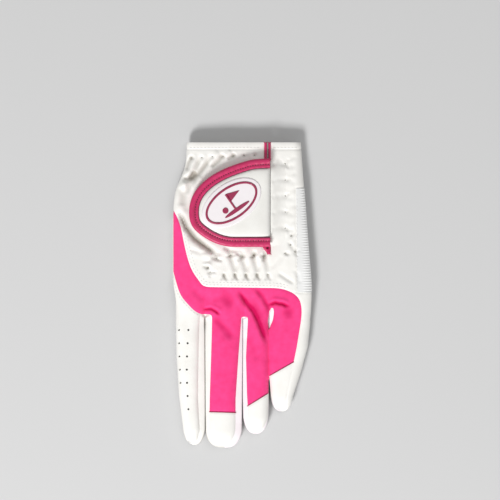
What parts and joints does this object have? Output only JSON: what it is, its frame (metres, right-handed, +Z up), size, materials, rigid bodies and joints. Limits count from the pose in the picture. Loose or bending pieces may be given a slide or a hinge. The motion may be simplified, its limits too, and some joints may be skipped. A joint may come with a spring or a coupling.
{
  "type": "golf glove",
  "caption": "Left-hand golf glove lying flat, back up: white leather and pink knit, padded closure tab with an oval badge, shirred wrist, hinged fingers and thumb.",
  "frame": {"origin": "centre of the bounding box in plan, on the surface that the glove lies on", "axes": "+Z up from the back of the hand, +Y from the fingertips towards the cuff, -X the thumb side"},
  "size_m": [0.0806, 0.177, 0.0158],
  "materials": {
    "white_leather": "satin",
    "palm_leather": "satin",
    "pink_knit": "matte",
    "binding_leather": "satin",
    "badge_base": "satin",
    "badge_line": "satin",
    "hook_and_loop": "matte",
    "elastic": "matte",
    "foam": "matte"
  },
  "bodies": {
    "hand": {"back_knit_panel": "pink_knit", "cuff_hem_back": "white_leather", "cuff_hem_palm": "palm_leather", "fourchette_web_index_middle": "white_leather", "fourchette_web_middle_ring": "white_leather", "fourchette_web_ring_little": "white_leather", "index_knuckle_overlay": "white_leather", "little_side_strip": "white_leather", "little_side_wall": "white_leather", "loop_patch": "hook_and_loop", "palm_panel": "palm_leather", "shirring_elastic": "elastic", "side_elastic_strip": "elastic", "side_shirring_elastic": "elastic", "slit_binding": "binding_leather", "tab_seam_welt": "white_leather", "thumb_side_wall": "white_leather", "wrist_elastic": "elastic", "wrist_panel": "white_leather"},
    "tab": {"badge_base": "badge_base", "badge_emblem": "badge_line", "badge_ring": "badge_line", "hook_patch": "hook_and_loop", "tab_backing": "white_leather", "tab_binding": "binding_leather", "tab_padding": "foam", "tab_panel": "white_leather"},
    "thumb": {"thumb_back_panel": "white_leather", "thumb_gusset": "white_leather", "thumb_pad_panel": "palm_leather"},
    "index": {"index_back_panel": "white_leather", "index_fourchette": "white_leather", "index_palm_side_panel": "palm_leather", "index_side_wrap": "white_leather"},
    "middle": {"middle_back_knit": "pink_knit", "middle_fourchette_index_side": "white_leather", "middle_fourchette_ring_side": "white_leather", "middle_palm_side_panel": "palm_leather", "middle_tip_panel": "white_leather"},
    "ring": {"ring_back_knit": "pink_knit", "ring_fourchette_little_side": "white_leather", "ring_fourchette_middle_side": "white_leather", "ring_palm_side_panel": "palm_leather", "ring_tip_panel": "white_leather"},
    "little": {"little_back_knit": "pink_knit", "little_fourchette": "white_leather", "little_palm_side_panel": "palm_leather", "little_side_wrap": "white_leather", "little_tip_panel": "white_leather"}
  },
  "joints": [
    {"name": "tab_peel", "type": "hinge", "parent": "hand", "child": "tab", "pos_m": [0.0163, 0.0535, 0.0146], "axis": [0, 1, 0], "range_deg": [0, 160]},
    {"name": "thumb_swing", "type": "hinge", "parent": "hand", "child": "thumb", "pos_m": [-0.0406, 0.026, 0.0026], "axis": [0, 1, 0], "range_deg": [0, 170]},
    {"name": "index_flex", "type": "hinge", "parent": "hand", "child": "index", "pos_m": [-0.0303, -0.015, 0], "axis": [1, 0, 0], "range_deg": [0, 85]},
    {"name": "middle_flex", "type": "hinge", "parent": "hand", "child": "middle", "pos_m": [-0.0108, -0.015, 0], "axis": [1, 0, 0], "range_deg": [0, 85]},
    {"name": "ring_flex", "type": "hinge", "parent": "hand", "child": "ring", "pos_m": [0.0078, -0.015, 0], "axis": [1, 0, 0], "range_deg": [0, 85]},
    {"name": "little_flex", "type": "hinge", "parent": "hand", "child": "little", "pos_m": [0.0272, -0.015, 0], "axis": [1, 0, 0], "range_deg": [0, 85]}
  ]
}
